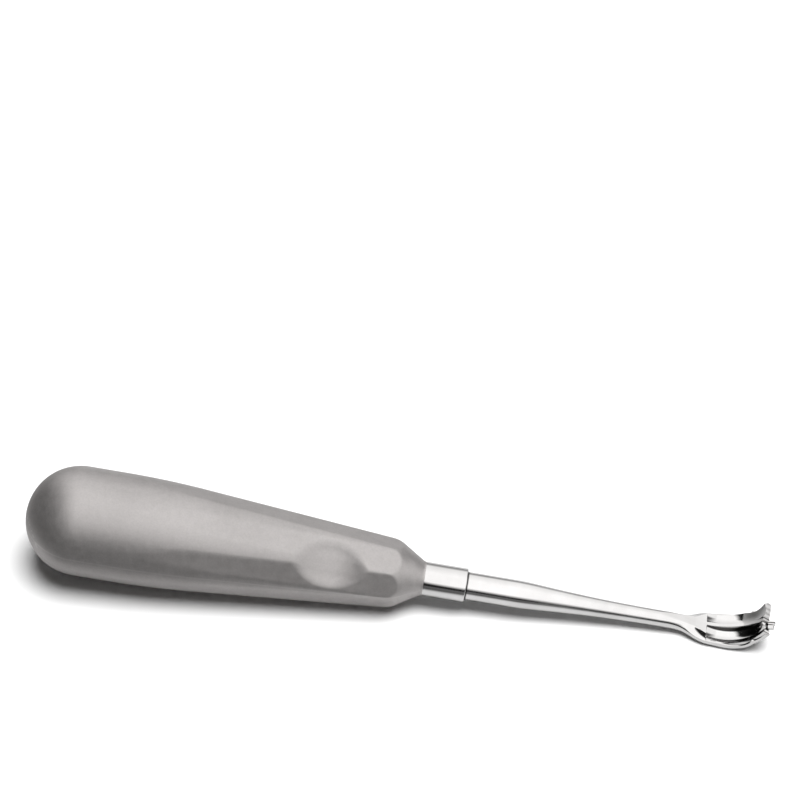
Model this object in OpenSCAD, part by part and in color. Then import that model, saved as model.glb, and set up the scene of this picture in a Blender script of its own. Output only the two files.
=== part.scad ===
// Pear-handled dental elevator: hollow two-shell handle, turned collar, and a
// one-piece forged blade with a double-channel scoop whose end turns up.
// Millimetres. Origin: centre of the collar's front face, on the tool axis.
// +X runs along the axis to the tip, +Z is the side that the scoop opens to.

/* [Handle] */
// Distance from the collar's front face back to the end of the butt
handle_back = 94.7; // [92:0.1:98]
// Radius of the belly and of the round butt
belly_r = 11.7; // [11.2:0.1:12.2]
// Radius where the straight taper meets the front shoulder
front_r = 7.36; // [7.2:0.02:7.5]
// Station of that corner, measured back from the collar's front face
front_back = 15.4; // [15:0.1:15.8]
// Sheet thickness of the two pressed shells
wall = 1.1; // [0.9:0.05:1.3]

/* [Grip flats] */
// Distance from the axis to each flat at the front corner
flat_front = 6.85; // [6.75:0.05:6.95]
// How far each flat rises for each millimetre towards the butt
flat_slope = 0.0927; // [0.088:0.001:0.098]

/* [Thumb dish] */
// Station of the dish's centre, measured back from the collar's front face
dish_back = 27.7; // [27:0.1:29]
// Depth of the dish below the ridge that it is pressed into
dish_depth = 1.7; // [1.3:0.1:1.9]
// Radius of the dish's two lobes
dish_r = 16; // [14:0.5:18]
// Turn of each lobe to its side of the ridge, in degrees
dish_split = 6; // [4:0.5:8]

/* [Collar] */
// Radius of the polished collar
collar_r = 3.65; // [3.5:0.05:3.8]
// Length of collar that stands in front of the handle
collar_len = 9.05; // [8:0.05:10]
// Radius of the spigot behind it, inside the handle's mouth
spigot_r = 2.8; // [2.7:0.05:2.9]
// Length of the spigot
spigot_len = 6; // [5:0.5:7]

/* [Blade] */
// Radius of the straight shank
shank_r = 3; // [2.8:0.05:3.2]
// Length of the straight shank
shank_len = 13.8; // [13:0.1:15]
// Radius of the neck where it is slimmest
neck_r = 1.75; // [1.65:0.01:1.8]
// Radius of the hidden tang
tang_r = 1.9; // [1.8:0.05:2]
// Station of the scoop's shoulder
shoulder_x = 51.7; // [51:0.1:53]
// Full width of the scoop
scoop_w = 9.2; // [8.8:0.1:9.6]

/* [Inside] */
// Station of the tang's end, measured back from the collar's front face
tang_back = 42.6; // [42.6:0.1:46]
// Thickness of the disc that centres the tang in the handle
disc_t = 2; // [1.5:0.1:2.5]
// Radius of the cross pin through the spigot and the tang
pin_r = 0.75; // [0.6:0.05:0.9]
// Radius of the vent plug in the butt
plug_r = 0.8; // [0.6:0.05:1]

/* [Hidden] */
$fn = 96;

blasted = "#9b9895";
polished = "#d9d9dc";
plain_steel = "#b4b5b8";

fit_gap = 0.03;
far = 60;
flats = 8;

// Handle outline: round butt, belly arc, straight taper, shoulder arc, cone, mouth fillet.
butt_x = belly_r - handle_back;
taper = 0.085;
taper_a = atan(taper);
cone_slope = 0.617;
cone_a = atan(cone_slope);
belly_arc_r = 200;
shoulder_arc_r = 6;
mouth_arc_r = 1.2;
belly_corner_x = -front_back - (belly_r - front_r) / taper;
belly_arc_x = belly_corner_x - belly_arc_r * tan(taper_a / 2);
shoulder_t = shoulder_arc_r * tan((cone_a - taper_a) / 2);
shoulder_arc_y = front_r + shoulder_t * sin(taper_a) - shoulder_arc_r * cos(taper_a);
shoulder_arc_x = -front_back - shoulder_t * cos(taper_a) - shoulder_arc_r * sin(taper_a);
mouth_x = -collar_len;

// Points of an arc, in degrees, as [radius, station] pairs.
function arc(cy, cx, r, a0, a1, n) =
    [for (i = [0:n]) let (a = a0 + (a1 - a0) * i / n) [cy + r * cos(a), cx + r * sin(a)]];

// The outline inset by g, from the butt's equator forward to the mouth.
function handle_outline(g) = concat(
    [[0, butt_x], [belly_r - g, butt_x]],
    arc(belly_r - belly_arc_r, belly_arc_x, belly_arc_r - g, 0, taper_a, 6),
    arc(shoulder_arc_y, shoulder_arc_x, shoulder_arc_r - g, taper_a, cone_a, 6),
    arc(collar_r + mouth_arc_r, mouth_x, mouth_arc_r + g, 180 + cone_a, 180, 5),
    [[0, mouth_x]]
);

// Turns a shape made along Z so that it lies along X.
module along_x() {
    rotate([0, 90, 0]) children();
}

// A round bar along X between two stations.
module bar(r, x0, x1) {
    translate([x0, 0, 0]) along_x() cylinder(r = r, h = x1 - x0);
}

module handle_round(g) {
    along_x() rotate_extrude() intersection() {
        union() {
            translate([0, butt_x]) circle(r = belly_r - g);
            polygon(handle_outline(g));
        }
        translate([0, -handle_back]) square([belly_r, handle_back]);
    }
}

// One block outside a flat, cut away to leave it; turn 0 faces +Y.
module flat_block(turn, g) {
    rotate([turn, 0, 0])
        translate([-front_back, 0, flat_front - g])
            rotate([0, atan(flat_slope), 0])
                translate([-handle_back, -far / 2, 0])
                    cube([handle_back + far / 2, far, far / 2]);
}

// The handle's outer form (g = 0), or the same form inset by g.
module handle_form(g) {
    difference() {
        handle_round(g);
        for (i = [0:flats - 1]) flat_block((i + 0.5) * 360 / flats, g);
    }
}

// The two balls that press the thumb dish into the ridge at -Y, +Z, side by side.
module dish_balls(extra) {
    ridge_r = front_r + taper * (dish_back - front_back);
    reach = ridge_r - dish_depth + dish_r;
    for (side = [-1, 1]) rotate([45 + side * dish_split, 0, 0])
        translate([-dish_back, 0, reach]) sphere(r = dish_r + extra);
}

// The inside of the shells, one sheet thickness in from the form and from the dish.
module handle_cavity() {
    difference() {
        handle_form(wall);
        dish_balls(wall);
    }
}

module handle_hollow() {
    difference() {
        handle_form(0);
        dish_balls(0);
        handle_cavity();
        bar(spigot_r + fit_gap, -collar_len - spigot_len, 1);
        bar(plug_r + fit_gap, -handle_back - 1, -handle_back + 3 * wall);
    }
}

// Half of space above (side = 1) or below (side = -1) the weld plane.
module half_space(side) {
    translate([-2 * far, -far / 2, side > 0 ? 0 : -far / 2]) cube([3 * far, far, far / 2]);
}

module handle_shell_upper() {
    color(blasted) intersection() {
        handle_hollow();
        half_space(1);
    }
}

module handle_shell_lower() {
    color(blasted) intersection() {
        handle_hollow();
        half_space(-1);
    }
}

collar_chamfer = 0.25;
pin_x = -collar_len - 0.55 * spigot_len;

// Turned ferrule: the collar in front, a spigot behind, bored for the tang.
module neck_collar() {
    color(polished) difference() {
        along_x() rotate_extrude() polygon([
            [tang_r + fit_gap, -collar_len - spigot_len],
            [spigot_r, -collar_len - spigot_len],
            [spigot_r, -collar_len],
            [collar_r, -collar_len],
            [collar_r, -collar_chamfer],
            [collar_r - collar_chamfer, 0],
            [tang_r + fit_gap, 0]
        ]);
        cross_bar(pin_r);
    }
}

// A bar across the tang, along Y.
module cross_bar(r) {
    translate([pin_x, 0, 0]) rotate([90, 0, 0]) cylinder(r = r, h = 2 * spigot_r, center = true);
}

disc_x = -tang_back + 0.6;

// Spacer tube round the tang, from the spigot back to the disc.
module tang_tube() {
    color(plain_steel) difference() {
        bar(spigot_r, disc_x + disc_t, -collar_len - spigot_len);
        bar(tang_r + fit_gap, disc_x, 0);
    }
}

// Disc shaped like the cavity, which centres the tang's end.
module support_disc() {
    color(plain_steel) difference() {
        intersection() {
            handle_form(wall + 2 * fit_gap);
            translate([disc_x, -far / 2, -far / 2]) cube([disc_t, far, far]);
        }
        bar(tang_r + fit_gap, disc_x - 1, disc_x + disc_t + 1);
    }
}

module lock_pin() {
    color(plain_steel) intersection() {
        cross_bar(pin_r - fit_gap / 2);
        bar(spigot_r, pin_x - 2, pin_x + 2);
    }
}

// Plug that closes the vent hole, dressed flush with the round butt.
module vent_plug() {
    color(blasted) intersection() {
        bar(plug_r, -handle_back - 1, -handle_back + 1.4 * wall);
        handle_form(0);
    }
}

// Neck: the radius falls from the shank to the slimmest place along a parabola.
neck_end_x = 42;
root_x = shoulder_x - 0.4;

function neck_radius(x) =
    let (t = min(1, (x - shank_len) / (neck_end_x - shank_len)))
    neck_r + (shank_r - 0.1 - neck_r) * pow(1 - t, 2);

module shank() {
    steps = 14;
    along_x() rotate_extrude() polygon(concat(
        [[0, -tang_back], [tang_r, -tang_back], [tang_r, 0], [shank_r, 0], [shank_r, shank_len]],
        [for (i = [0:steps]) let (x = shank_len + (neck_end_x - shank_len) * i / steps)
            [neck_radius(x), x]],
        [[neck_r, root_x], [0, root_x]]
    ));
}

// Takes the top off the neck, in a long slope down to the flat of the scoop.
module neck_top_cut() {
    translate([shoulder_x, 0, 0]) across(-far / 4, far / 4) polygon([
        [-neck_slope_back, neck_r + 0.1], [-flat_back, top_z], [0, top_z],
        [0, far / 4], [-neck_slope_back, far / 4]
    ]);
}

// Scoop. Its stations x run from the shoulder, its heights z from the tool axis.
// The channels and the turned-up end are ground about one cross axis above the scoop.
top_z = 0.95;
sweep_x = 3.2;
sweep_z = 9.04;
bed_r = 9.54;
back_r = 10.69;
lip_z = 5.6;
lip_in_x = 12.1;
lip_out_x = 13.2;
lip_fall = 0.35;
rib_w = 0.92;
channel_w = 3.8;
channel_crown_r = 2.46;
rim_w = 0.35;
keel_r = 12;
keel_z = -1.66;
flat_back = 2.5;
flat_back_w = 2.78;
flat_w = 5.7;
neck_slope_back = 9.5;
root_back = 8.4;
root_half = 0.7;
swell = 0.55;
waist = 0.3;
waist_x = 10.3;
ear_x = 9.9;
ear_h = 1.1;
teeth = 8;
tooth_h = 0.35;
horn_h = 0.75;

// Smooth step from 0 at a to 1 at b.
function ramp(a, b, x) = let (t = max(0, min(1, (x - a) / (b - a)))) t * t * (3 - 2 * t);

// Half the width at a station: flare, slow swell, a slight waist, and a flare at the lip.
function half_w(x) =
    root_half + (scoop_w / 2 - swell - root_half) * ramp(-root_back, 0.8, x)
    + swell * ramp(-0.5, 6.5, x)
    - waist * ramp(8.2, waist_x, x)
    + waist * ramp(waist_x, lip_out_x, x);

// Height of the ground bed at a station.
function bed_z(x) = sweep_z - sqrt(bed_r * bed_r - pow(x - sweep_x, 2));

// Height of the mid rib: it climbs from the shoulder to the middle of the lip.
function rib_z(x) = top_z + (lip_z - top_z) * pow(x / lip_in_x, 2.4);

// Height of a side rim, which ends in a small raised ear and then follows the end.
function rim_z(x) = x > ear_x
    ? max(bed_z(x), top_z - 0.05 + ear_h * ramp(ear_x + 0.9, ear_x, x))
    : top_z - 1.2 + 0.5 * ramp(0, 8.7, x) + 1.75 * ramp(8, ear_x, x);

// Extrudes an outline drawn in X and Z across the scoop, between two places on Y.
module across(y0, y1) {
    translate([0, y1, 0]) rotate([90, 0, 0]) linear_extrude(y1 - y0) children();
}

// Side view of the scoop: flat top, rib, lip, round back and level keel.
module side_outline() {
    polygon(concat(
        [[-root_back, top_z - 3], [-root_back, top_z]],
        [for (i = [0:10]) let (x = lip_in_x * i / 10) [x, rib_z(x)]],
        [[lip_out_x, lip_z - lip_fall], [lip_out_x, top_z - 3]]
    ));
}

module plan_outline() {
    steps = 24;
    span = lip_out_x + root_back;
    polygon(concat(
        [for (i = [0:steps]) let (x = span * i / steps - root_back) [x, half_w(x)]],
        [for (i = [steps:-1:0]) let (x = span * i / steps - root_back) [x, -half_w(x)]]
    ));
}

// The back of the scoop: level at the keel, then round about the cross axis to the lip.
module back_outline() {
    translate([sweep_x, sweep_z]) circle(r = back_r);
    translate([-root_back - 1, sweep_z - back_r]) square([root_back + 1 + sweep_x, back_r]);
}

// One crowned grinding wheel, as wide as a channel, kept in front of the shoulder.
module channel_wheel(side) {
    rib_side = rib_w / 2;
    intersection() {
        translate([sweep_x, side * (rib_side + channel_w / 2), sweep_z])
            rotate([90, 0, 0]) rotate_extrude() intersection() {
                union() {
                    translate([bed_r - channel_crown_r, 0]) circle(r = channel_crown_r);
                    translate([0, -channel_w / 2])
                        square([bed_r - channel_crown_r, channel_w]);
                }
                translate([0, -channel_w / 2]) square([bed_r, channel_w]);
            }
        translate([0, -far / 2, -far / 2]) cube(far);
    }
}

// Everything above one side rim.
module rim_cut(side) {
    inner = half_w(4) - rim_w;
    outer = inner + 2;
    across(side > 0 ? inner : -outer, side > 0 ? outer : -inner) polygon(concat(
        [[0, 12]],
        [for (x = [0:1:8]) [x, rim_z(x)]],
        [for (x = [8.4:0.4:12]) [x, rim_z(x)]],
        [[lip_in_x + 0.1, 12]]
    ));
}

// The plane that falls from the edge of the shoulder's flat to the rim.
module shoulder_cut(side) {
    turn = atan((flat_w - flat_back_w) / 2 / flat_back);
    run = (half_w(0) - flat_w / 2) * cos(turn);
    fall = atan((top_z - rim_z(0)) / run);
    mirror([0, side > 0 ? 0 : 1, 0]) intersection() {
        translate([-flat_back, flat_back_w / 2, top_z]) rotate([0, 0, turn]) rotate([-fall, 0, 0])
            translate([-far / 2, 0, 0]) cube(far);
        translate([-far, -far / 2, -far / 2]) cube(far);
    }
}

// Everything above the toothed lip, which rises to a horn at each corner.
module lip_cut() {
    pitch = scoop_w / teeth;
    last = teeth + 2;
    translate([lip_in_x - 0.35, 0, 0]) rotate([90, 0, 90]) linear_extrude(3) polygon(concat(
        [for (i = [-last:last]) let (y = i * pitch / 2)
            [y, lip_z - horn_h + horn_h * pow(y / scoop_w * 2, 2) - (i % 2 == 0 ? tooth_h : 0)]],
        [[last, 12], [-last, 12]]
    ));
}

module scoop() {
    translate([shoulder_x, 0, 0]) difference() {
        intersection() {
            across(-far / 4, far / 4) side_outline();
            across(-far / 4, far / 4) back_outline();
            translate([0, 0, -far / 4]) linear_extrude(far / 2) plan_outline();
            translate([0, 0, keel_r + keel_z]) bar(keel_r, -far / 4, far / 4);
        }
        for (side = [-1, 1]) {
            channel_wheel(side);
            rim_cut(side);
            shoulder_cut(side);
        }
        lip_cut();
    }
}

// Two small pegs that stand out of the lip, on the -Y side.
module lip_pegs() {
    peg_w = 0.9;
    peg_x = lip_out_x - 0.6;
    for (i = [0, 1])
        translate([shoulder_x + peg_x, -0.2 - peg_w - i * 1.25, lip_z - 1.35 + i * 0.1])
            rotate([0, -12, 0]) cube([1.5 - i * 0.25, peg_w, 0.75]);
}

module blade() {
    color(polished) difference() {
        union() {
            shank();
            scoop();
            lip_pegs();
        }
        neck_top_cut();
        cross_bar(pin_r);
    }
}

handle_shell_upper();
handle_shell_lower();
neck_collar();
tang_tube();
support_disc();
lock_pin();
vent_plug();
blade();
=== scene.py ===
import math

import bmesh
import bpy
import numpy as np
from mathutils import Matrix, Vector


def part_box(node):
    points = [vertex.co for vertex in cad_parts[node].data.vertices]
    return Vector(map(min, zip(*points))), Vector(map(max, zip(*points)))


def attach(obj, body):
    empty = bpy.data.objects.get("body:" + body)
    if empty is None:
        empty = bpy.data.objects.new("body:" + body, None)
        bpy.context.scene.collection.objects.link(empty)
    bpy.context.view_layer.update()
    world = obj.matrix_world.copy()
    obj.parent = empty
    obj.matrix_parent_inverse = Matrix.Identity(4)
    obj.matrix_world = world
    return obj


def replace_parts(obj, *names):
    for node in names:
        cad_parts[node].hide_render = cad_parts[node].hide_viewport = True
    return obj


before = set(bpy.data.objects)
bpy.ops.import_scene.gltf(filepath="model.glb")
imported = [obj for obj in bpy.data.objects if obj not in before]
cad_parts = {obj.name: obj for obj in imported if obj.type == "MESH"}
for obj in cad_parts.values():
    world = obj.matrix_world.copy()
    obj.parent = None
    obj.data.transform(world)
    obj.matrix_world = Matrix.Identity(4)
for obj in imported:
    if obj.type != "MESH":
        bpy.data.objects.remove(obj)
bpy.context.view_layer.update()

MM = 0.001

# ---------------------------------------------------------------- driving sizes, in millimetres
# X runs along the tool axis from the collar's front face to the tip, and +Z is the scoop's open side.
# The tang tube is as thick as the collar's spigot, so its box gives the spigot's radius.
BUTT_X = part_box("handle_shell_upper")[0].x / MM
MOUTH_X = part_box("handle_shell_upper")[1].x / MM
BELLY_R = -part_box("handle_shell_lower")[0].z / MM
COLLAR_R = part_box("neck_collar")[1].z / MM
SPIGOT_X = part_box("neck_collar")[0].x / MM
SPIGOT_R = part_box("tang_tube")[1].z / MM
TANG_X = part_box("blade")[0].x / MM
PLUG_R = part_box("vent_plug")[1].z / MM

# Handle form. The dish's two lobes lie DISH_SPLIT degrees to each side of the ridge at DISH_TURN.
TAPER = 0.085
CONE = 0.617
FRONT_X = -15.4
FRONT_R = 7.36
BELLY_ARC_R = 200.0
SHOULDER_ARC_R = 6.0
MOUTH_ARC_R = 1.2
WALL = 1.1
FLATS = 8
FLAT_FRONT = 6.85
FLAT_SLOPE = 0.0927
FLAT_BLEND = 0.14
DISH_X = -27.7
DISH_DEPTH = 1.7
DISH_R = 16.0
DISH_SPLIT = 6.0
DISH_TURN = 45.0
DISH_BLEND = 0.6
GAP = 0.03

# Blade form. The scoop's end turns up round an axis at SWEEP_X and SWEEP_Z from the shoulder. BED_R and
# BACK_R are the channels' floor and the underside from that axis, and CROWN_R rounds the floor across.
TANG_R = 1.9
SHANK_R = 3.0
SHANK_LEN = 13.8
NECK_R = 1.75
NECK_END = 42.0
SHOULDER = 51.7
SCOOP_W = 9.2
TOP_Z = 0.95
KEEL_Z = -1.66
SWEEP_X = 3.2
SWEEP_Z = 9.04
BED_R = 9.54
BACK_R = 10.69
CROWN_R = 2.46
RIB_HALF = 0.42
RIB_WALL = 0.2
CHANNEL_MID = 2.36
CHANNEL_HALF = 1.9
RIM_W = 0.3
RIM_LAP = 0.06
LIP_Z = 5.6
HORN_H = 0.75
TEETH = 8

# Lengths from the shoulder: back to where the neck is still round, and forward down the step into
# the channels. The rings turn evenly up to SPREAD_FROM degrees and then fan out to meet the lip.
NECK_BACK = 11.0
STEP_LEN = 0.14
SPREAD_FROM = 50.0
SPREAD = 20.0


# ---------------------------------------------------------------- small helpers
def ramp(a, b, x):
    """Smooth step from 0 at a to 1 at b."""
    t = np.clip((np.asarray(x, float) - a) / (b - a), 0, 1)
    return t * t * (3 - 2 * t)


def soft_min(a, b, k):
    """Smaller of a and b, rounded off where they differ by less than k."""
    h = np.clip(0.5 + 0.5 * (b - a) / k, 0, 1)
    return b + (a - b) * h - k * h * (1 - h)


def face_outward(mesh):
    """Turn the faces of each closed surface in the mesh to face outward."""
    work = bmesh.new()
    work.from_mesh(mesh)
    bmesh.ops.recalc_face_normals(work, faces=work.faces)
    work.to_mesh(mesh)
    work.free()


def new_piece(name, verts, faces, finish, sharp_deg=32):
    """A smooth-shaded mesh in metres, riding on the tool's one body."""
    mesh = bpy.data.meshes.new(name)
    mesh.from_pydata((np.asarray(verts) * MM).tolist(), [], faces)
    mesh.validate()
    face_outward(mesh)
    mesh.polygons.foreach_set("use_smooth", [True] * len(mesh.polygons))
    mesh.set_sharp_from_angle(angle=math.radians(sharp_deg))
    mesh.materials.append(finish)
    piece = bpy.data.objects.new(name, mesh)
    bpy.context.scene.collection.objects.link(piece)
    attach(piece, "root")
    return piece


def loft(rings, cap):
    """Points and faces of a tube through rings of points, closed round each ring.

    The cap is 'strip' for a row of faces across a C-shaped end, 'loop' where the last ring joins the
    first, and 'none' for open ends.
    """
    rows, n = rings.shape[:2]
    verts = rings.reshape(-1, 3)
    faces = []
    last = rows if cap == "loop" else rows - 1
    for j in range(last):
        a, b = j * n, ((j + 1) % rows) * n
        faces += [(a + i, a + (i + 1) % n, b + (i + 1) % n, b + i) for i in range(n)]
    if cap == "strip":
        for a, flip in ((0, True), ((rows - 1) * n, False)):
            for i in range(n // 2 - 1):
                quad = (a + i, a + i + 1, a + n - 2 - i, a + n - 1 - i)
                faces.append(quad[::-1] if flip else quad)
    return verts, faces


def revolve(profile, turns=256):
    """Rings of a profile of (x, r) points turned round the tool axis."""
    angle = np.linspace(0, 2 * math.pi, turns, endpoint=False)
    x, r = profile[:, 0][:, None], profile[:, 1][:, None]
    return np.stack([x + 0 * angle, r * np.cos(angle), r * np.sin(angle)], axis=2)


# ---------------------------------------------------------------- materials
class Nodes:
    """A short way to write the nodes of a material or a world."""

    def __init__(self, owner, surface):
        owner.use_nodes = True
        self.owner = owner
        self.tree = owner.node_tree
        self.surface = self.tree.nodes[surface]
        self.coords = self.add("ShaderNodeTexCoord").outputs
        self.place = self.coords["Object"]

    def add(self, kind, **values):
        node = self.tree.nodes.new(kind)
        for key, value in values.items():
            if hasattr(node, key):
                setattr(node, key, value)
            else:
                node.inputs[key].default_value = value
        return node

    def put(self, value, socket):
        """Link a node's output to the socket, or set the socket to a fixed number or colour."""
        if isinstance(value, bpy.types.NodeSocket):
            self.tree.links.new(value, socket)
        else:
            socket.default_value = (*value, 1) if isinstance(value, tuple) else value

    def link(self, source, node, socket):
        self.tree.links.new(source, node.inputs[socket])

    def axes(self, vector):
        node = self.add("ShaderNodeSeparateXYZ")
        self.link(vector, node, "Vector")
        return [node.outputs[axis] for axis in "XYZ"]

    def stretched(self, scale):
        node = self.add("ShaderNodeMapping")
        node.inputs["Scale"].default_value = scale
        self.link(self.place, node, "Vector")
        return node.outputs["Vector"]

    def noise(self, scale, detail=3.0, vector=None, rough=0.5):
        node = self.add("ShaderNodeTexNoise", Scale=scale, Detail=detail, Roughness=rough)
        self.link(vector or self.place, node, "Vector")
        return node.outputs["Fac"]

    def fit(self, value, low, high, to_low, to_high):
        node = self.add("ShaderNodeMapRange")
        for key, number in zip(("From Min", "From Max", "To Min", "To Max"), (low, high, to_low, to_high)):
            node.inputs[key].default_value = number
        self.link(value, node, "Value")
        return node.outputs["Result"]

    def fit_mm(self, place, low, high, to_low, to_high):
        """fit() for a place on the object, with low and high in millimetres."""
        return self.fit(place, low * MM, high * MM, to_low, to_high)

    def band(self, place, rise, fall, height):
        """The height between two places in millimetres, ramped up over rise and down over fall."""
        up, down = self.fit_mm(place, *rise, 0, height), self.fit_mm(place, *fall, height, 0)
        return self.maths("MINIMUM", up, down)

    def maths(self, kind, a, b):
        node = self.add("ShaderNodeMath", operation=kind)
        for value, socket in zip((a, b), node.inputs):
            self.put(value, socket)
        return node.outputs[0]

    def mix(self, factor, a, b, kind="RGBA"):
        """Blend of two colours, or of two numbers with kind FLOAT."""
        node = self.add("ShaderNodeMix", data_type=kind)
        self.link(factor, node, "Factor")
        self.put(a, node.inputs["A"])
        self.put(b, node.inputs["B"])
        return node.outputs["Result"]

    def edges(self, low, high):
        node = self.add("ShaderNodeNewGeometry")
        return self.fit(node.outputs["Pointiness"], low, high, 0, 1)

    def bump(self, height, distance, strength=1.0, under=None):
        """Bump from a height map, with its distance in millimetres, on top of another bump."""
        node = self.add("ShaderNodeBump", Strength=strength, Distance=distance * MM)
        self.link(height, node, "Height")
        if under:
            self.link(under, node, "Normal")
        return node.outputs["Normal"]


def material(name):
    return Nodes(bpy.data.materials.new(name), "Principled BSDF")


def blasted_steel():
    """Bead-blasted steel: fine grain over soft blotches, a little brighter and smoother along worn edges."""
    m = material("blasted_steel")
    grain = m.noise(9000, 2, rough=0.6)
    mottle = m.noise(700, 4)
    cloud = m.noise(90, 3)
    speck = m.noise(2600, 2)
    tone = m.maths("ADD", m.maths("MULTIPLY", mottle, 0.4), m.maths("MULTIPLY", cloud, 0.3))
    tone = m.maths("ADD", tone, m.maths("MULTIPLY", speck, 0.3))
    base = m.mix(m.fit(tone, 0.35, 0.65, 0, 1), (0.49, 0.472, 0.466), (0.60, 0.578, 0.572))
    wear = m.edges(0.505, 0.54)
    worn = m.mix(m.maths("MULTIPLY", wear, 0.5), base, (0.68, 0.66, 0.65))
    m.link(worn, m.surface, "Base Color")
    rough = m.maths("SUBTRACT", m.fit(mottle, 0.3, 0.7, 0.45, 0.53), m.maths("MULTIPLY", wear, 0.08))
    m.link(rough, m.surface, "Roughness")
    m.surface.inputs["Metallic"].default_value = 0.88
    coarse = m.bump(mottle, 0.02, 0.5)
    m.link(m.bump(grain, 0.02, 0.7, coarse), m.surface, "Normal")
    return m.owner


def painted_corner_shade(m, base):
    """Painted shade: steel darkened in the inner corners by ambient occlusion."""
    corner = m.add("ShaderNodeAmbientOcclusion", samples=12, only_local=True, Distance=1.6 * MM)
    return m.mix(m.fit(corner.outputs["AO"], 0.2, 0.65, 0, 1), (0.03, 0.028, 0.027), base)


def painted_foot_shade(m, base, along, sideways):
    """Painted shade: dark lines along both feet of the scoop's rib and in front of the collar."""
    foot = RIB_HALF + RIB_WALL
    off_rib = m.maths("ABSOLUTE", sideways, 0)
    lines = m.band(off_rib, (RIB_HALF + 0.02, RIB_HALF + 0.08), (foot + 0.06, foot + 0.18), 1)
    lines = m.maths("MINIMUM", lines, m.fit_mm(along, SHOULDER, SHOULDER + 0.2, 0, 0.95))
    collar_shade_line = m.band(along, (-0.1, 0), (0.2, 0.4), 0.9)
    return m.mix(m.maths("MAXIMUM", lines, collar_shade_line), base, (0.02, 0.018, 0.018))


def polished_roughness(m, lines, smudge, along, sideways):
    """Smooth, with faint lines and smudges; rougher on edges, the neck and the turned-up end's +Y half."""
    rough = m.maths("ADD", m.fit(smudge, 0.3, 0.7, 0.05, 0.12), m.maths("MULTIPLY", lines, 0.05))
    rough = m.maths("ADD", rough, m.maths("MULTIPLY", m.edges(0.51, 0.56), 0.08))
    neck = m.band(along, (SHANK_LEN - 2.8, SHANK_LEN + 3.2), (NECK_END - 4, NECK_END), 0.1)
    far_end = m.fit_mm(along, SHOULDER + 7.5, SHOULDER + 7.9, 0, 0.4)
    far_half = m.fit_mm(sideways, -0.6, 0, 0, 0.4)
    ground = m.maths("MINIMUM", far_end, far_half)
    return m.maths("ADD", m.maths("ADD", rough, neck), ground)


def polished_steel():
    """Polished steel: lengthwise lines, smudges, a slightly wavy surface, and painted shade in inner corners,
    along the rib's feet and in front of the collar.
    """
    m = material("polished_steel")
    along, sideways, _ = m.axes(m.place)
    lines = m.noise(2500, 3, m.stretched((0.02, 1, 1)), 0.6)
    smudge = m.noise(160, 4)
    base = m.mix(m.fit(smudge, 0.35, 0.7, 0, 1), (0.78, 0.775, 0.77), (0.88, 0.875, 0.875))
    # Painted shade in the inner corners, along the rib's feet and in front of the collar.
    base = painted_foot_shade(m, painted_corner_shade(m, base), along, sideways)
    m.link(base, m.surface, "Base Color")
    m.link(polished_roughness(m, lines, smudge, along, sideways), m.surface, "Roughness")
    m.surface.inputs["Metallic"].default_value = 1.0
    wavy = m.bump(m.noise(220, 2), 0.02, 0.35)
    m.link(m.bump(lines, 0.004, 0.5, wavy), m.surface, "Normal")
    return m.owner


def plain_steel():
    """Turned steel with rings round the axis, for the pieces inside."""
    m = material("plain_steel")
    rings = m.noise(3000, 2, m.stretched((1, 0.03, 0.03)), 0.5)
    base = m.mix(m.fit(rings, 0.35, 0.65, 0, 1), (0.45, 0.45, 0.46), (0.60, 0.60, 0.61))
    m.link(base, m.surface, "Base Color")
    m.link(m.fit(rings, 0.3, 0.7, 0.25, 0.42), m.surface, "Roughness")
    m.surface.inputs["Metallic"].default_value = 1.0
    m.link(m.bump(rings, 0.01, 0.6), m.surface, "Normal")
    return m.owner


BLASTED = blasted_steel()
POLISHED = polished_steel()
PLAIN = plain_steel()


# ---------------------------------------------------------------- handle shells
def round_outline(x):
    """Radius of the handle before its flats and dish, at stations x from the butt's equator forward."""
    taper_a, cone_a = math.atan(TAPER), math.atan(CONE)
    corner = FRONT_X - (BELLY_R - FRONT_R) / TAPER
    arc_x = corner - BELLY_ARC_R * math.tan(taper_a / 2)
    arc_end = arc_x + BELLY_ARC_R * math.sin(taper_a)
    t = SHOULDER_ARC_R * math.tan((cone_a - taper_a) / 2)
    sh_r = FRONT_R + t * math.sin(taper_a) - SHOULDER_ARC_R * math.cos(taper_a)
    sh_x = FRONT_X - t * math.cos(taper_a) - SHOULDER_ARC_R * math.sin(taper_a)
    sh_from = sh_x + SHOULDER_ARC_R * math.sin(taper_a)
    sh_to = sh_x + SHOULDER_ARC_R * math.sin(cone_a)
    mouth_from = MOUTH_X - MOUTH_ARC_R * math.sin(cone_a)
    belly = BELLY_R - BELLY_ARC_R + np.sqrt(BELLY_ARC_R**2 - np.clip(x - arc_x, 0, None) ** 2)
    taper = FRONT_R + TAPER * (FRONT_X - x)
    shoulder = sh_r + np.sqrt(np.clip(SHOULDER_ARC_R**2 - (x - sh_x) ** 2, 0, None))
    mouth_c = COLLAR_R + MOUTH_ARC_R
    mouth = mouth_c - np.sqrt(np.clip(MOUTH_ARC_R**2 - (x - MOUTH_X) ** 2, 0, None))
    start = mouth_c - math.sqrt(MOUTH_ARC_R**2 - (mouth_from - MOUTH_X) ** 2)
    cone = start + CONE * (mouth_from - x)
    return np.select([x < arc_end, x < sh_from, x < sh_to, x < mouth_from],
                     [belly, taper, shoulder, cone], mouth)


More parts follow.
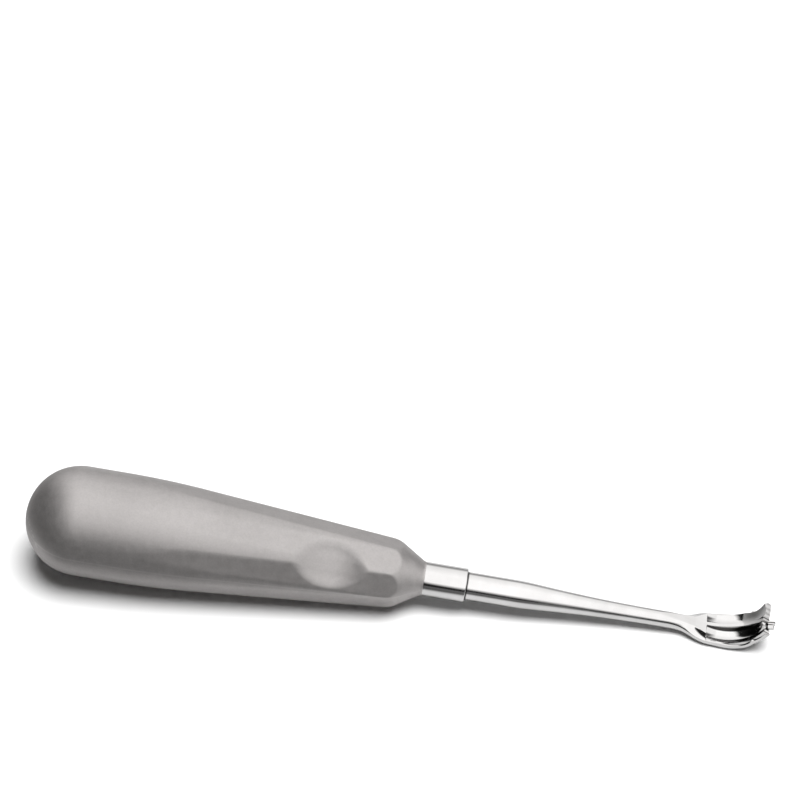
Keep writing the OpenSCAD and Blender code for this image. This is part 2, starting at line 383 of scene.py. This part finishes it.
def handle_radius(x, round_r, turn):
    """Radius of the finished handle at stations x (rows) and turns round the axis (columns), turn 0 at -Y."""
    x, round_r, turn = x[:, None], round_r[:, None], turn[None, :]
    flat_turn = 2 * math.pi / FLATS
    off = (turn % flat_turn) - flat_turn / 2
    flat = (FLAT_FRONT + FLAT_SLOPE * (FRONT_X - x)) / np.cos(off)
    r = soft_min(round_r + 0 * off, flat, FLAT_BLEND)
    ridge = FRONT_R + TAPER * (FRONT_X - DISH_X)
    centre = ridge - DISH_DEPTH + DISH_R
    for side in (-1, 1):
        away = turn - math.radians(DISH_TURN + side * DISH_SPLIT)
        inside = DISH_R**2 - (x - DISH_X) ** 2 - (centre * np.sin(away)) ** 2
        dish = centre * np.cos(away) - np.sqrt(np.clip(inside, 0, None))
        near = (inside > 0) & (np.cos(away) > 0)
        r = np.where(near, soft_min(r, dish, DISH_BLEND), r)
    return r


def shell(name, first_turn):
    """One pressed half of the handle, with its thickness, as a loft of C-shaped rings."""
    equator = BUTT_X + BELLY_R
    hole_r = PLUG_R + GAP
    cap_a = np.linspace(math.asin(hole_r / BELLY_R), math.pi / 2, 90)
    body_x = np.concatenate([
        np.linspace(equator, -40, 150)[1:], np.linspace(-40, -20, 110)[1:], np.linspace(-20, MOUTH_X, 90)[1:]
    ])
    x = np.concatenate([equator - BELLY_R * np.cos(cap_a), body_x])
    round_r = np.concatenate([BELLY_R * np.sin(cap_a), round_outline(body_x)])
    turn = first_turn + np.linspace(0, math.pi, 241)
    outer = handle_radius(x, round_r, turn)
    tangent = np.stack([np.gradient(x), np.gradient(round_r)], axis=1)
    tangent /= np.linalg.norm(tangent, axis=1)[:, None]
    in_x = x + WALL * tangent[:, 1]
    in_x[-1] = x[-1]
    cap = len(cap_a)
    inner = outer - WALL * tangent[:, :1]
    inner[cap:] = np.maximum(inner[cap:], SPIGOT_R + GAP)
    inner[:cap] = np.maximum(inner[:cap], hole_r)
    inner[0] = hole_r

    def points(xs, rs):
        return np.stack([xs[:, None] + 0 * rs, -rs * np.cos(turn), rs * np.sin(turn)], axis=2)

    rings = np.concatenate([points(x, outer), points(in_x, inner)[:, ::-1]], axis=1)
    verts, faces = loft(rings, "strip")
    return new_piece(name, verts, faces, BLASTED)


upper = shell("handle_upper", 0.0)
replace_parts(upper, "handle_shell_upper")
lower = shell("handle_lower", math.pi)
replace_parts(lower, "handle_shell_lower")


# ---------------------------------------------------------------- collar
def fillet(cx, cr, radius, from_deg, to_deg, steps=6):
    """Points of an arc in a profile, as (x, r)."""
    a = np.radians(np.linspace(from_deg, to_deg, steps))
    return np.stack([cx + radius * np.cos(a), cr + radius * np.sin(a)], axis=1)


def collar():
    """The collar and its spigot, with a rounded front edge and a back edge that meets the handle's mouth."""
    edge, soft = 0.22, 0.06
    bore = TANG_R + GAP
    profile = np.concatenate([
        [[SPIGOT_X, bore], [SPIGOT_X, SPIGOT_R], [MOUTH_X, SPIGOT_R]],
        fillet(MOUTH_X + soft, COLLAR_R - soft, soft, 180, 90),
        fillet(-edge, COLLAR_R - edge, edge, 90, 0, 9),
        [[0, bore]],
    ])
    verts, faces = loft(revolve(profile), "loop")
    return new_piece("collar", verts, faces, POLISHED)


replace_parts(collar(), "neck_collar")


# ---------------------------------------------------------------- blade
def neck_radius(x):
    """Radius of the neck, which slims along a parabola up to NECK_END."""
    t = np.minimum((x - SHANK_LEN) / (NECK_END - SHANK_LEN), 1)
    return NECK_R + (SHANK_R - 0.1 - NECK_R) * (1 - t) ** 2


def half_width(x):
    """Half the scoop's width at stations from the shoulder."""
    flare = 0.7 + (SCOOP_W / 2 - 1.25) * ramp(-8.4, 0.8, x) + 0.55 * ramp(-0.5, 6.5, x)
    pinch = 0.3 * ramp(10.3, 13.2, x) - 0.3 * ramp(8.2, 10.3, x)
    return (flare**6 + NECK_R**6) ** (1 / 6) + pinch


def across(x, w):
    """Places across the scoop, from -Y to +Y, whose lines follow the rib, the shoulder's edge and the rim.

    The lines of the rib and the rim draw together where half the width, w, is under full_w.
    """
    full_w = 4.05
    scale = min(1.0, w / full_w)
    rib, wall, rim = RIB_HALF * scale, RIB_WALL * scale, RIM_W * scale
    edge = flat_half(x)
    half = np.concatenate([
        np.linspace(0, rib, 7), np.linspace(rib, rib + wall, 9)[1:], np.linspace(rib + wall, edge, 22)[1:],
        np.linspace(edge, w - rim - wall, 14)[1:], np.linspace(w - rim - wall, w - rim, 8)[1:],
        w - rim + rim * np.sin(np.linspace(0, math.pi / 2, 14))[1:]
    ])
    return np.concatenate([-half[:0:-1], half])


def flat_half(x):
    """Half the width of the shoulder's flat; in front of the shoulder, a free line across the channel."""
    if x > 0:
        return 2.85
    w = float(half_width(x))
    star = 2.85 + (2.85 - 1.39) / 2.5 * x if x > -2.5 else 1.39 * (1 + (x + 2.5) / 12)
    return min(star, 0.82 * w)


def lip_height(y):
    """Height of the lip, which rises to a horn at each corner."""
    return LIP_Z - HORN_H + HORN_H * (y / (SCOOP_W / 2)) ** 2


def tooth(y):
    """Teeth ground across the lip, deeper on the -Y side."""
    pitch = SCOOP_W / TEETH
    saw = np.abs(((y / pitch) % 1) - 0.5) * 2
    return saw * np.where(y < 0, 0.3, 0.12)


def channel_reach(y, w, rib_r, rim_r):
    """Distance of the scoop's face from its sweep axis: rib, crowned bed and rim."""
    a = np.abs(y)
    t = np.clip(a - CHANNEL_MID, -CHANNEL_HALF, CHANNEL_HALF)
    bed = BED_R - (CROWN_R - np.sqrt(CROWN_R**2 - t**2))
    from_rib = ramp(RIB_HALF, RIB_HALF + RIB_WALL, a)
    reach = rib_r * (1 - from_rib) + bed * from_rib
    to_rim = ramp(w - RIM_W - RIB_WALL, w - RIM_W, a)
    return reach * (1 - to_rim) + rim_r * to_rim


def underside(q, keel, edge):
    """Level across the underside: the keel's in the middle, the edge's at the sides, where q is -1 and 1."""
    bow = 1 - np.clip(1 - np.abs(q) ** 5, 0, 1) ** (1 / 5)
    return keel + (edge - keel) * bow


def rib_height(x):
    """Height of the rib's top before the scoop turns up, at station x from the shoulder."""
    return TOP_Z + (LIP_Z - TOP_Z) * (x / 12.1) ** 2.4


def rim_height(x):
    """Height of both rims, at station x from the shoulder."""
    return TOP_Z - 1.2 + 0.5 * float(ramp(0, 8.7, x))


def ring(top_x, y, top_z, low_x, low_z):
    """One ring: over the top from -Y to +Y, then back underneath, without the two end points again."""
    over = np.stack([top_x, y, top_z], axis=1)
    under = np.stack([low_x, y, low_z], axis=1)[-2:0:-1]
    return np.concatenate([over, under])


def channel_top(x, y, w):
    """Height of the scoop's face before it turns up: a round bed, with the rib and the rims above it."""
    reach = channel_reach(y, w, SWEEP_Z - rib_height(x), SWEEP_Z - rim_height(x))
    in_channel = (np.abs(y) > RIB_HALF + RIB_WALL / 2) & (np.abs(y) < w - RIM_W - RIB_WALL / 2)
    return SWEEP_Z - np.where(in_channel, np.sqrt(reach**2 - (x - SWEEP_X) ** 2), reach)


def straight_ring(x):
    """Ring at station x from the shoulder, where the round neck widens into the scoop's level floor."""
    w = float(half_width(x))
    y = across(x, w)
    q = y / w
    flat = float(ramp(-8.5, -0.4, x))
    neck = NECK_R * np.sqrt(np.clip(1 - q**2, 0, 1))
    edge = flat_half(x)
    out = np.clip((np.abs(y) - edge) / max(w - edge, 0.05), 0, 1)
    shoulder = TOP_Z - (TOP_Z + 0.25) * (1 - (1 - out) ** 1.7)
    slope = TOP_Z + (NECK_R + 0.06 - TOP_Z) * np.clip((-2.2 - x) / 7.3, 0, None)
    top = soft_min((1 - flat) * neck + flat * shoulder, slope + 0 * y, 0.15)
    rim = -0.25
    if x > 0:
        down = float(ramp(0, STEP_LEN, x))
        top = top * (1 - down) + channel_top(x, y, w) * down
        rim = rim_height(x)
    bottom = -(1 - flat) * neck + flat * underside(q, KEEL_Z, rim - RIM_LAP)
    station = SHOULDER + x + 0 * y
    return ring(station, y, top, station, bottom)


def swept_ring(turned):
    """Ring where the scoop turns up, at so many degrees round the sweep axis."""
    station = SWEEP_X + BED_R * math.sin(math.radians(turned))
    w = float(half_width(station))
    y = across(station, w)
    deg = turned + 0 * y
    if turned > SPREAD_FROM:
        end = np.degrees(np.arccos((SWEEP_Z - lip_height(y) + tooth(y)) / BED_R))
        deg = SPREAD_FROM + (turned - SPREAD_FROM) / SPREAD * (end - SPREAD_FROM)
    a = np.radians(deg)
    # The rib fades out towards the lip, and each rim has a small ear at 43 degrees.
    rib_r = 7.9 - 0.0197 * deg + 0.00059 * deg**2 + 0.2 * (deg / 69) ** 8
    ear = np.exp(-(((deg - 43) / 2.4) ** 2))
    rim_r = 9.14 + 0.34 * ramp(2, 36, deg) - 0.3 * ear
    face_r = np.minimum(channel_reach(y, w, rib_r, rim_r), BED_R)
    back_r = underside(y / w, BACK_R, rim_r + RIM_LAP)
    return ring(
        SHOULDER + SWEEP_X + face_r * np.sin(a), y, SWEEP_Z - face_r * np.cos(a),
        SHOULDER + SWEEP_X + back_r * np.sin(a), SWEEP_Z - back_r * np.cos(a)
    )


def scoop_rings():
    """Rings from the round neck to the toothed lip, closest together at the shoulder's step."""
    straight = np.concatenate([
        np.linspace(-NECK_BACK, -3, 60), np.linspace(-3, -0.01, 40)[1:], np.linspace(0.0, STEP_LEN, 9),
        np.linspace(STEP_LEN, SWEEP_X, 26)[1:]
    ])
    swept = np.concatenate([
        np.linspace(0, SPREAD_FROM, 64)[1:], np.linspace(SPREAD_FROM, SPREAD_FROM + SPREAD, 64)[1:]
    ])
    return [straight_ring(x) for x in straight] + [swept_ring(turned) for turned in swept]


def shank_rings(q):
    """Round rings of the tang, shank and neck, with the same points round as the scoop's rings."""
    soft = 0.08
    tang = np.array([[TANG_X, TANG_R], [TANG_X + 0.02, TANG_R], [0, TANG_R]])
    front = fillet(soft, SHANK_R - soft, soft, 180, 90)
    x = np.concatenate([[1.5, SHANK_LEN - 5], np.linspace(SHANK_LEN - 4, SHOULDER - NECK_BACK, 90)[:-1]])
    r = soft_min(SHANK_R + 0 * x, neck_radius(x), 0.2)
    profile = np.concatenate([tang, front, np.stack([x, r], axis=1)])
    height = np.sqrt(np.clip(1 - q**2, 0, 1))
    return [ring(px + 0 * q, pr * q, pr * height, px + 0 * q, -pr * height) for px, pr in profile]


def pegs():
    """The two small pegs that stand out of the lip on the -Y side, as tapered blocks."""
    wide, high = 0.9, 0.75
    walls = [(a + k, a + (k + 1) % 4, a + 4 + (k + 1) % 4, a + 4 + k) for a in (0, 4) for k in range(4)]
    blocks = []
    for i in (0, 1):
        length = 1.5 - i * 0.25
        place = Matrix.Translation((SHOULDER + 12.6, -0.2 - wide - i * 1.25, LIP_Z - 1.35 + i * 0.1))
        place = place @ Matrix.Rotation(math.radians(-12), 4, "Y")
        corners = []
        for along, inset in ((0, 0), (length - 0.12, 0.04), (length, 0.16)):
            right, top = wide - inset, high - inset
            for y, z in ((inset, inset), (right, inset), (right, top), (inset, top)):
                corners.append(list(place @ Vector((along, y, z))))
        blocks.append((corners, walls + [(3, 2, 1, 0), (8, 9, 10, 11)]))
    return blocks


def blade():
    """The one-piece blade as a loft of rings from the tang to the lip, with the pegs in the same mesh."""
    scoop = scoop_rings()
    first = scoop[0]
    n = len(first)
    count = (n + 2) // 2
    rings = np.array(shank_rings(first[:count, 1] / first[count - 1, 1]) + scoop)
    verts, faces = loft(rings, "none")
    faces.append(tuple(range(n - 1, -1, -1)))
    last = (len(rings) - 1) * n
    under = [0] + [n - i for i in range(1, count - 1)] + [count - 1]
    for i in range(count - 1):
        quad = [last + i, last + i + 1, last + under[i + 1], last + under[i]]
        faces.append(tuple(dict.fromkeys(quad)))
    verts = verts.tolist()
    for peg_verts, peg_faces in pegs():
        start = len(verts)
        verts += peg_verts
        faces += [tuple(start + i for i in face) for face in peg_faces]
    return new_piece("blade_polished", verts, faces, POLISHED, 40)


blade_piece = blade()
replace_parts(blade_piece, "blade")


# ---------------------------------------------------------------- CAD nodes that stay
def finish_node(node, finish):
    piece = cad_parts[node]
    piece.data.materials.clear()
    piece.data.materials.append(finish)


finish_node("vent_plug", BLASTED)
for hidden in ("tang_tube", "support_disc", "lock_pin"):
    finish_node(hidden, PLAIN)


# ---------------------------------------------------------------- floor, light and camera
# What reflections see: the horizon as the sine of its elevation, the world's strength below and above
# it, and its strength at the left end. AMBIENT is the world's light outside reflections. PAPER_SEEN is
# the paper's brightness in reflections, and FLAG is the share of that left in front and to the left.
HORIZON = 0.34
DARK = 0.02
BRIGHT = 1.2
SIDE = 0.1
AMBIENT = 0.03
FLAG = 0.12
PAPER_SEEN = 0.55


def points_of(piece):
    """Coordinates of a piece's vertices, in metres, as rows."""
    flat = np.empty(len(piece.data.vertices) * 3)
    piece.data.vertices.foreach_get("co", flat)
    return flat.reshape(-1, 3)


def floor_tilt():
    """Slope and level of the plane that the belly and the scoop both touch."""
    belly, tip = points_of(lower), points_of(blade_piece)
    low, high = 0.0, 0.3
    for _ in range(40):
        slope = (low + high) / 2
        if (belly[:, 2] - slope * belly[:, 0]).min() < (tip[:, 2] - slope * tip[:, 0]).min():
            low = slope
        else:
            high = slope
    return slope, (belly[:, 2] - slope * belly[:, 0]).min()


def paper_material():
    """White paper to the camera. In reflections it darkens away from the tool, in front and to the left."""
    m = material("paper")
    tone = m.mix(m.noise(40, 4), (0.90, 0.90, 0.90), (0.94, 0.94, 0.94))
    m.surface.inputs["Roughness"].default_value = 0.9
    along, sideways, _ = m.axes(m.place)
    front = m.fit_mm(sideways, -22, -12, FLAG, 1)
    left = m.fit_mm(along, -140, -100, FLAG, 1)
    seen = m.maths("MULTIPLY", m.maths("MULTIPLY", front, left), PAPER_SEEN)
    path = m.add("ShaderNodeLightPath")
    shade = m.mix(path.outputs["Is Glossy Ray"], 1, seen, "FLOAT")
    both = m.add("ShaderNodeVectorMath", operation="SCALE")
    m.link(tone, both, "Vector")
    m.link(shade, both, "Scale")
    m.link(both.outputs["Vector"], m.surface, "Base Color")
    return m.owner


def studio_world():
    """Even light on the floor; in reflections a broad light overhead and a dark rim round the horizon."""
    world = bpy.data.worlds.new("studio")
    bpy.context.scene.world = world
    m = Nodes(world, "Background")
    x, y, z = m.axes(m.coords["Generated"])
    # The horizon stands higher to the left, except far behind, and lower behind and to the right.
    higher = m.maths("MULTIPLY", m.fit(x, -0.9, -0.1, 0.9, 0), m.fit(y, 0.5, 0.75, 1, 0))
    lower = m.maths("ADD", m.fit(y, 0.2, 0.5, 0, 0.3), m.fit(x, 0.4, 0.8, 0, 0.2))
    height = m.maths("ADD", m.maths("SUBTRACT", z, higher), lower)
    lit = m.fit(height, HORIZON - 0.12, HORIZON + 0.16, DARK, BRIGHT)
    # The light dims towards the back. It ends to the left and, behind the tool only, to the right.
    fade = m.maths("MULTIPLY", m.fit(y, 0.1, 0.85, 1, 0.8), m.fit(y, 0.86, 0.95, 1, 0.4))
    right_edge = m.maths("MAXIMUM", m.fit(x, 0.26, 0.46, 1, 0.1), m.fit(y, 0.2, 0.5, 0.85, 0))
    left_edge = m.fit(x, -0.85, -0.5, SIDE, 1)
    window = m.maths("MINIMUM", right_edge, left_edge)
    glossy = m.maths("MULTIPLY", m.maths("MULTIPLY", lit, fade), window)
    path = m.add("ShaderNodeLightPath")
    strength = m.mix(path.outputs["Is Glossy Ray"], AMBIENT, glossy, "FLOAT")
    seen = m.maths("MAXIMUM", strength, path.outputs["Is Camera Ray"])
    m.link(seen, m.surface, "Strength")
    m.surface.inputs["Color"].default_value = (1, 0.99, 0.985, 1)


def studio():
    """Paper under the belly and the scoop, the world, and one broad lamp that reflections don't see."""
    slope, level = floor_tilt()
    size = 3.0
    around = ((-size, -size), (size, -size), (size, size), (-size, size))
    corners = [(x, y, level + slope * x) for x, y in around]
    mesh = bpy.data.meshes.new("floor")
    mesh.from_pydata(corners, [], [(0, 1, 2, 3)])
    mesh.materials.append(paper_material())
    floor = bpy.data.objects.new("floor", mesh)
    bpy.context.scene.collection.objects.link(floor)
    studio_world()
    data = bpy.data.lights.new("overhead", "SUN")
    data.energy = 4.5
    data.angle = math.radians(42)
    lamp = bpy.data.objects.new("overhead", data)
    lamp.rotation_euler = (math.radians(3), math.radians(5), 0)
    lamp.visible_glossy = False
    bpy.context.scene.collection.objects.link(lamp)


def camera():
    """A long lens from 44 degrees above, rolled so that the tool runs down to the right."""
    elevation, roll = math.radians(44.0), math.radians(9.57)
    lens, sensor = 150.0, 36.0
    # The picture is seen_wide millimetres wide at the origin, and its centre lies left of and above it.
    seen_wide, aim_left, aim_up = 170.0, 14.025, 39.44
    back = Vector((0, -math.cos(elevation), math.sin(elevation)))
    level_right, level_up = Vector((1, 0, 0)), Vector((0, math.sin(elevation), math.cos(elevation)))
    right = level_right * math.cos(roll) + level_up * math.sin(roll)
    up = level_up * math.cos(roll) - level_right * math.sin(roll)
    distance = seen_wide * MM * lens / sensor
    aim = up * (aim_up * MM) - right * (aim_left * MM)
    data = bpy.data.cameras.new("camera")
    data.lens, data.sensor_width = lens, sensor
    data.clip_start, data.clip_end = 0.01, 20
    cam = bpy.data.objects.new("camera", data)
    turn = Matrix((right, up, back)).transposed().to_4x4()
    cam.matrix_world = Matrix.Translation(aim + back * distance) @ turn
    bpy.context.scene.collection.objects.link(cam)
    bpy.context.scene.camera = cam


studio()
camera()
bpy.context.scene.view_settings.view_transform = "Standard"
